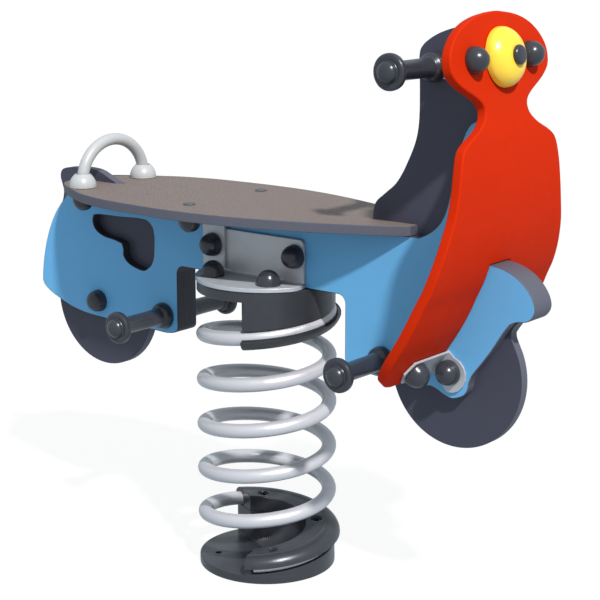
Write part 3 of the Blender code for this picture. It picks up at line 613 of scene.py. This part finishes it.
def make_spring():
    """Round wire in two pieces that meet at the joints' height."""
    half = (COIL_MIDDLE - WIRE_START_HEIGHT) * 360 / PITCH
    free_from = (0, 0, on_turn(CLAMPS["base"][1], 0, 0).z)
    free_to = (0, 0, on_turn(CLAMPS["top"][0], 0, 0).z)
    middle = (0, 0, COIL_MIDDLE)
    tip_radius = 0.9 * WIRE_RADIUS
    round_about = np.linspace(0, math.tau, 28, endpoint=False)
    for name, start, end, bodies, blend_from, blend_to in (
            ("lower", 0.0, half, ("base", "coil"), free_from, middle),
            ("upper", half, COIL_DEGREES, ("coil", "rider"), middle, free_to)):
        stations = list(np.linspace(start, end, round((end - start) / COIL_STEP) + 1))
        sizes = [WIRE_RADIUS] * len(stations)
        if name == "lower":
            stations.insert(1, start + WIRE_TIP)
            sizes.insert(0, tip_radius)
        else:
            stations.insert(-1, end - WIRE_TIP)
            sizes.append(tip_radius)
        rings = [[on_turn(along, COIL_RADIUS + size * math.cos(a), size * math.sin(a))
                  for a in round_about] for along, size in zip(stations, sizes)]
        wire = sweep(f"spring_{name}_half", rings, "spring")
        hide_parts("coil_spring")
        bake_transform(wire)


def make_flange(end, up):
    """Cast disc with its helical ramp; up is 1, or -1 for the fitting that hangs upside down."""
    low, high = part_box(f"{end}_flange")
    disc, edge, outer = DISC_THICKNESS[end], DISC_ROUNDING, FITTING_RADIUS
    bottom = low.z if up > 0 else high.z - disc
    profile = [(0, 0), *arc((outer - edge, edge), edge, -90, 0, 4),
               *arc((outer - edge, disc - edge), edge, 0, 90, 4), (0, disc)]
    flange = turned(f"{end}_casting", profile, Vector((0, 0, bottom)), UP, "iron", 96)

    inner, rim = FITTING_INNER, outer - 0.0003
    top = up * RAMP_TOP
    soft, crown = RAMP_ROUNDING, 0.3 * RAMP_ROUNDING

    def ramp_ring(along):
        foot = bottom + disc / 2 - on_turn(along, 1, 0).z
        return [on_turn(along, radius, height) for radius, height in (
            (inner, foot), (rim, foot), (rim, top - up * soft),
            (rim - crown, top - up * crown), (rim - soft, top), (inner + soft, top),
            (inner + crown, top - up * crown), (inner, top - up * soft))]

    rings = [ramp_ring(along) for along in np.linspace(*CLAMPS[end], 61)]
    combine(flange, sweep(f"{end}_ramp", rings, "iron"), "UNION")
    return flange


def make_clamp(end, up):
    """Casting hooked over the wire, with a flat roof towards the axis."""
    inner, outer, lip, foot = FITTING_INNER, CLAMP_RADIUS, CLAMP_LIPS[end], CLAMP_FOOT
    edge, corner = 0.0008, 0.0016
    wall = 0.0760                # the side of the foot that faces the wire
    section = [(outer - edge, lip), (outer, lip + edge),
               *arc((COIL_RADIUS, 0.0002), BULGE_RADIUS, 5, 118, 12),
               *arc((inner + corner, CLAMP_ROOF - corner), corner, 90, 180, 4),
               (inner, foot + edge), (inner + edge, foot), (wall - edge, foot),
               (wall, foot + edge), *arc((COIL_RADIUS, 0), HOLLOW_RADIUS, 180, 0, 10),
               (outer - 0.0048, lip + 0.0006), (outer - 0.0042, lip)]
    middle = np.mean(section, axis=0)
    start, finish = CLAMPS[end]
    chamfer, face = 0.7, 0.96    # degrees at each end, and how much of the section is left there
    between = np.linspace(start + chamfer, finish - chamfer, 60)
    rings = []
    for along, size in ((start, face), *((turn, 1.0) for turn in between), (finish, face)):
        points = middle + size * (np.array(section) - middle)
        rings.append([on_turn(along, radius, up * height) for radius, height in points])
    return sweep(f"{end}_clamp_casting", rings, "iron", smooth=32)


def spot_face(clamp, x, y):
    """Anchor hole through a clamp, with a level seat cut into its sloping roof."""
    along = (math.degrees(math.atan2(y, x)) - WIRE_START) % 360
    level = on_turn(along, 0, CLAMP_ROOF - SPOT_DEPTH).z
    above = 0.03
    profile = [(0, -REACH), (ANCHOR_RADIUS, -REACH), (ANCHOR_RADIUS, 0), (SPOT_RADIUS, 0),
               (SPOT_RADIUS, above), (0, above)]
    combine(clamp, turned("spot", profile, Vector((x, y, level)), UP, "iron", 40))


def make_fittings():
    """Flange and clamp at each end of the spring; the lower pair has the anchor holes."""
    for end, up in (("base", 1), ("top", -1)):
        flange = make_flange(end, up)
        clamp = make_clamp(end, up)
        if end == "base":
            for x in (-ANCHOR_OFFSET, ANCHOR_OFFSET):
                for y in (-ANCHOR_OFFSET, ANCHOR_OFFSET):
                    drill(flange, Vector((x, y, 0.05)), UP, ANCHOR_RADIUS, REACH, "iron")
                    if x > 0 or y > 0:    # the fourth hole lies past the clamp's end
                        spot_face(clamp, x, y)
        stands_for(flange, f"{end}_flange")
        stands_for(clamp, f"{end}_clamp")


# ---------------------------------------------------------------- sheets

def make_panels():
    """Laminate panels, pressed together: the middle one and the two outer ones."""
    soft, crisp, squeeze = 0.0012, 0.0002, 0.0001
    for node, decor, rounding in (("core_panel", "dark", (crisp, crisp)),
                                  ("side_panel_right", "blue", (soft, crisp)),
                                  ("side_panel_left", "blue", (crisp, soft))):
        low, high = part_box(node)
        near = low.y - squeeze * (rounding[0] == crisp)
        far = high.y + squeeze * (rounding[1] == crisp)
        loops = fine_loops(flat_side(node, (0, -1, 0)), (0, 2))
        panel = slab(f"{node}_sheet", loops, lambda u, v, d, y=near: Vector((u, y + d, v)),
                     far - near, [decor, "edge", decor], rounding)
        stands_for(panel, node)


def make_seat():
    """Deck board, with the mesh on its upper face."""
    low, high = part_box("seat")
    loops = fine_loops(flat_side("seat", (0, 0, 1)), (0, 1))
    seat = slab("seat_deck", loops, lambda u, v, d: Vector((u, v, high.z - d)), high.z - low.z,
                ["deck", "edge", "dark"], rounding=(0.0010, 0.0010))
    stands_for(seat, "seat")


def make_shield():
    """Sheet cut flat and bent about a cross axis, level by level."""
    corners, normals, _ = faces_of("shield")
    front = corners[normals[:, 0] > 0.6]
    points = np.unique(np.round(front.reshape(-1, 3), 6)[:, [2, 0]], axis=0)
    heights, first = np.unique(points[:, 0], return_index=True)
    curve = np.array(through(list(zip(heights, points[first, 1])), 4))

    def face_at(height):
        return np.interp(height, curve[:, 0], curve[:, 1])

    def bend(bm):
        step = 0.004
        level = heights[0] + step
        while level < heights[-1]:
            everything = bm.verts[:] + bm.edges[:] + bm.faces[:]
            bmesh.ops.bisect_plane(bm, geom=everything, dist=1e-6, plane_co=(0, 0, level),
                                   plane_no=(0, 0, 1))
            level += BEND_STEP
        for vert in bm.verts:
            depth, y, z = vert.co
            run = face_at(z + step) - face_at(z - step)
            rise = min(z + step, heights[-1]) - max(z - step, heights[0])
            size = math.hypot(run, rise)
            vert.co = (face_at(z) - depth * rise / size, y, z + depth * run / size)

    loops = fine_loops(borders(front), (1, 2))
    shield = slab("shield_sheet", loops, lambda u, v, d: Vector((d, u, v)), SHEET,
                  ["red", "red", "red"], rounding=(0.0022, 0.0022), bend=bend)
    stands_for(shield, "shield")


# ---------------------------------------------------------------- steelwork

def make_spring_plates():
    """Half discs of thick sheet on the upper casting."""
    for side in SIDES:
        node = f"spring_plate_{side}"
        low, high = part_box(node)
        loops = fine_loops(flat_side(node, (0, 0, 1)), (0, 1))
        # the plates take the zinc copy toned for the sun (painted light)
        plate = slab(f"{node}_disc", loops, lambda u, v, d, z=high.z: Vector((u, v, z - d)),
                     high.z - low.z, ["zinc_toned_for_sun"] * 3, rounding=(0.0008, 0.0008))
        stands_for(plate, node)


def make_brackets():
    """Upright plates with rounded ends, and a rippled weld bead along each foot."""
    thickness, corner, edge = 0.0050, 0.0080, 0.0007
    bead_size, ripple, ripple_length = 0.0042, 0.0007, 0.0045
    ends = [0, edge, *np.linspace(edge * 2, corner, 8)]
    for side, sign in (("right", -1), ("left", 1)):
        node = f"bracket_{side}"
        low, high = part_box(node)
        inner = low.y if sign > 0 else high.y
        stations = [low.x + e for e in ends]
        stations += list(np.arange(low.x + corner + 0.001, high.x - corner - 0.0005, 0.001))
        stations += [high.x - e for e in reversed(ends)]
        rings = []
        for x in stations:
            near = min(x - low.x, high.x - x)
            drop = corner - math.sqrt(corner ** 2 - max(0.0, corner - near) ** 2)
            top = high.z - drop - low.z
            slim = max(0.0, edge - near)
            bead = bead_size + ripple * abs(math.sin(math.pi * (x - low.x) / ripple_length))
            bead *= min(1.0, 0.35 + near / 0.004)
            section = [(slim, slim), (thickness + bead - slim, slim)]
            section += [(thickness + bead * (1 - math.sin(a)) ** 1.3 - slim,
                         bead * (1 - math.cos(a)) ** 0.9 + slim)
                        for a in np.radians([18, 36, 54, 72, 90])]
            section += [(thickness - slim, top - edge - slim),
                        (thickness - edge - slim, top - slim),
                        (edge + slim, top - slim), (slim, top - edge - slim)]
            rings.append([(x, inner + sign * out, low.z + up) for out, up in section])
        bracket = sweep(f"{node}_plate", rings, "steel")
        for end in ENDS:
            centre, axis = seating(f"bracket_cap_{end}_{side}")
            drill(bracket, centre, axis, BOLT_HOLE, 0.02, "steel")
        stands_for(bracket, node)


def dress_cad_steel():
    """Rods, bolts and small angles keep their solids, with softened edges."""
    rods = ["bracket_bolt_front", "bracket_bolt_rear", "rear_body_bolt", "fork_bolt",
            "handlebar_rod", "rear_footrest_rod", "front_footrest_rod"]
    looks = {node: "bolt" for node in rods}
    # the angles and fork brackets take the zinc copy toned for the sun (painted light)
    for side in SIDES:
        looks[f"seat_angle_{side}"] = "zinc_toned_for_sun"
        looks[f"fork_bracket_{side}"] = "zinc_toned_for_sun"
        looks[f"head_bracket_{side}"] = "steel"
    for node, look in looks.items():
        thing = NODES[node]
        thing.data.materials.clear()
        thing.data.materials.append(LOOKS[look])
        thing.modifiers.new("weld", "WELD").merge_threshold = 0.00001
        bevel = thing.modifiers.new("soft_edges", "BEVEL")
        bevel.width = 0.0005
        bevel.segments = 2
        bevel.limit_method = "ANGLE"
        bevel.angle_limit = math.radians(35)
        thing.modifiers.new("weighted_normals", "WEIGHTED_NORMAL").keep_sharp = True


# ---------------------------------------------------------------- mouldings

def cap_profile(underside):
    """Bell-shaped nut cover: slightly conical sides under a round top."""
    bell = through([(CAP_RADIUS, 0.0012), (0.0162, 0.0035), (0.0156, 0.0070), (0.0143, 0.0108),
                    (0.0121, 0.0146), (0.0089, 0.0177), (0.0048, 0.0198), (0, CAP_HEIGHT)], 5)
    return [*underside, *arc((CAP_RADIUS - 0.0005, 0.0005), 0.0005, -90, 0, 3), *bell]


def make_caps():
    """Covers over a nut, flat on a sheet, or in one with the bolt under them."""
    undersides = {"nut": CAP_HOLLOW, "flat": [(0, 0)]}
    for group, kind in (("plate_cap_front", "bolt"), ("plate_cap_rear", "bolt"),
                        ("bracket_cap_front", "nut"), ("bracket_cap_rear", "nut"),
                        ("rear_body_cap", "nut"), ("seat_cap", "nut"), ("arch_cap", "bolt"),
                        ("head_cap", "flat"), ("fork_cap", "nut"), ("leg_cap", "flat")):
        for side in SIDES:
            node = f"{group}_{side}"
            centre, axis = seating(node)
            low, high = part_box(node)
            shank = high.z - low.z - CAP_HEIGHT
            underside = undersides.get(
                kind, [(0, -shank), (BOLT_RADIUS, -shank), (BOLT_RADIUS, 0)])
            cap = turned(f"{node}_dome", cap_profile(underside), centre, axis, "plastic")
            stands_for(cap, node, weighted=False)


def make_grips():
    """Dumbbell grips: cup against the panel, bar, collar, and a knob with a raised face."""
    cup = [(0.0186, 0), (0.0190, 0.0006), *through([(0.0190, 0.0030), (0.0186, 0.0060),
           (0.0173, 0.0094), (0.0150, 0.0120), (0.0131, 0.0140), (0.0126, 0.0170),
           (0.0124, 0.0240), (0.0121, 0.0450), (0.0120, 0.0790)], 5)]
    collar = through([(0.0122, 0.0796), (0.0146, 0.0806), (0.0152, 0.0830), (0.0152, 0.0862)], 4)
    rim = through([(0.0160, 0.0872), (0.0204, 0.0880), (0.0222, 0.0896), (0.0226, 0.0926),
                   (0.0223, 0.0956), (0.0207, 0.0971), (0.0168, 0.0975)], 5)
    groove = [(0.0147, 0.0970), (0.0142, 0.0973)]
    face = through([(0.0138, 0.0983), (0.0128, 0.1018), (0.0096, 0.1053), (0.0050, 0.1074),
                    (0, 0.1080)], 5)
    bore = [(0, 0.0880), (0.0063, 0.0880), (0.0063, 0)]
    profile = [*bore, *cup, *collar, *rim, *groove, *face]
    for group in ("handlebar_grip", "rear_footrest", "front_footrest"):
        for side in SIDES:
            node = f"{group}_{side}"
            centre, axis = seating(node)
            grip = turned(f"{node}_moulding", profile, centre, axis, "plastic", 56)
            stands_for(grip, node, weighted=False)


def make_lamp():
    centre, axis = seating("headlamp")
    bulge = through([(0.0365, 0.0030), (0.0358, 0.0070), (0.0330, 0.0122), (0.0285, 0.0170),
                     (0.0225, 0.0206), (0.0160, 0.0226), (0.0125, 0.0230)], 5)
    lamp = turned("headlamp_dome", [(0, 0), (0.0358, 0), (0.0365, 0.0008), *bulge, (0, 0.0230)],
                  centre, axis, "yellow", 72)
    stands_for(lamp, "headlamp", weighted=False)
    centre, axis = seating("headlamp_cap")
    dome = through([(0.0119, 0.0006), (0.0120, 0.0030), (0.0108, 0.0050), (0.0075, 0.0064),
                    (0.0035, 0.0069), (0, 0.0070)], 4)
    button = turned("headlamp_button", [(0, 0), (0.0113, 0), *dome], centre, axis, "plastic")
    stands_for(button, "headlamp_cap", weighted=False)


def make_seat_bolts():
    """Mushroom-headed bolts, nearly flush with the deck."""
    for side in SIDES:
        node = f"seat_bolt_{side}"
        low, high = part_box(node)
        centre = Vector(((low.x + high.x) / 2, (low.y + high.y) / 2, low.z))
        top = high.z - low.z
        seat = top - 0.0032
        nut = [(0, 0), (0.0085, 0), (0.0085, 0.0080), (BOLT_RADIUS, 0.0080)]
        head = through([(0.0083, seat), (0.0085, seat + 0.0006), (0.0070, seat + 0.0020),
                        (0.0040, top - 0.0004), (0, top)], 4)
        bolt = turned(f"{node}_head", [*nut, (BOLT_RADIUS, seat), *head], centre, UP, "dull_bolt")
        stands_for(bolt, node, weighted=False)


# ---------------------------------------------------------------- grab arch

def make_arch():
    """Bent tube, straight for a little above its two domed feet."""
    low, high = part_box("grab_arch")
    tube = (high.x - low.x) / 2
    x = (low.x + high.x) / 2
    spread = (high.y - low.y) / 2 - tube
    straight = 0.0080
    rise = high.z - tube - low.z - straight
    route = [(-spread, 0.0)]
    route += [(-spread * math.cos(t), straight + rise * math.sin(t))
              for t in np.linspace(0, math.pi, 65)]
    route += [(spread, 0.0)]
    rings = []
    for (y, z), before, after in zip(route, route[:1] + route, route[1:] + route[-1:]):
        along = Vector((0, after[0] - before[0], after[1] - before[1])).normalized()
        out = Vector((0, -along.z, along.y))
        centre = Vector((x, y, low.z + z))
        rings.append([centre + Vector((1, 0, 0)) * tube * math.cos(a) + out * tube * math.sin(a)
                      for a in np.linspace(0, math.tau, 32, endpoint=False)])
    stands_for(sweep("grab_arch_tube", rings, "arch"), "grab_arch", weighted=False)
    for side in SIDES:
        node = f"arch_foot_{side}"
        centre, axis = seating(node)
        dome = [(0.0105, 0), (0.0190, 0), *through([
            (0.0195, 0.0006), (0.0194, 0.0045), (0.0182, 0.0095), (0.0158, 0.0140),
            (0.0128, 0.0175), (0.0110, 0.0193)], 5), (0.0105, 0.0195)]
        stands_for(turned(f"{node}_dome", dome, centre, axis, "arch"), node, weighted=False)


# ---------------------------------------------------------------- camera, light and floor

CAMERA_PLACE = Vector((1.3909, -1.6584, 0.8804))
CAMERA_TARGET = Vector((0.0362, 0.0291, 0.3793))
LENS_MM = 96.59
SENSOR_MM = 36
VIEW_LENGTH = 200
SUN_COURSE = Vector((-0.60, 0.35, -0.72))
SUN_STRENGTH = 4.6
SUN_ANGLE = 3                    # degrees, for soft shadows
SKY_COLOUR = (0.80, 0.91, 1.0, 1)
SKY_STRENGTH = 0.70
FLOOR_COLOUR = (70, 70, 71)
FLOOR_LEVEL = -0.0005            # just under the foot disc
FLOOR_REACH = 60
FLOOR_GLOW = 0.92                # keeps the floor near white, with a faint shadow


def make_stage():
    scene = bpy.context.scene
    camera_data = bpy.data.cameras.new("camera")
    camera_data.lens = LENS_MM
    camera_data.sensor_width = SENSOR_MM
    camera_data.clip_end = VIEW_LENGTH
    camera = placed("camera", camera_data)
    camera.location = CAMERA_PLACE
    camera.rotation_euler = (CAMERA_TARGET - CAMERA_PLACE).to_track_quat("-Z", "Y").to_euler()
    scene.camera = camera

    sun_data = bpy.data.lights.new("sun", "SUN")
    sun_data.energy = SUN_STRENGTH
    sun_data.angle = math.radians(SUN_ANGLE)
    placed("sun", sun_data).rotation_euler = SUN_COURSE.to_track_quat("-Z", "Y").to_euler()

    scene.world = bpy.data.worlds.new("studio")
    scene.world.use_nodes = True
    background = scene.world.node_tree.nodes["Background"]
    background.inputs["Color"].default_value = SKY_COLOUR
    background.inputs["Strength"].default_value = SKY_STRENGTH

    bm = bmesh.new()
    bmesh.ops.create_grid(bm, x_segments=1, y_segments=1, size=FLOOR_REACH)
    mesh = bpy.data.meshes.new("floor")
    bm.to_mesh(mesh)
    bm.free()
    paint = Paint("floor", FLOOR_COLOUR, 0.9, specular=0.0)
    paint.set("Emission Color", (1, 1, 1, 1))
    paint.set("Emission Strength", FLOOR_GLOW)
    mesh.materials.append(paint.material)
    floor = placed("floor", mesh)
    floor.location.z = FLOOR_LEVEL
    floor.visible_diffuse = False    # the glow lights nothing and shows in no reflection
    floor.visible_glossy = False
    scene.view_settings.view_transform = "Standard"


make_stage()
make_spring()
make_fittings()
make_panels()
make_seat()
make_shield()
make_spring_plates()
make_brackets()
dress_cad_steel()
make_caps()
make_grips()
make_lamp()
make_seat_bolts()
make_arch()
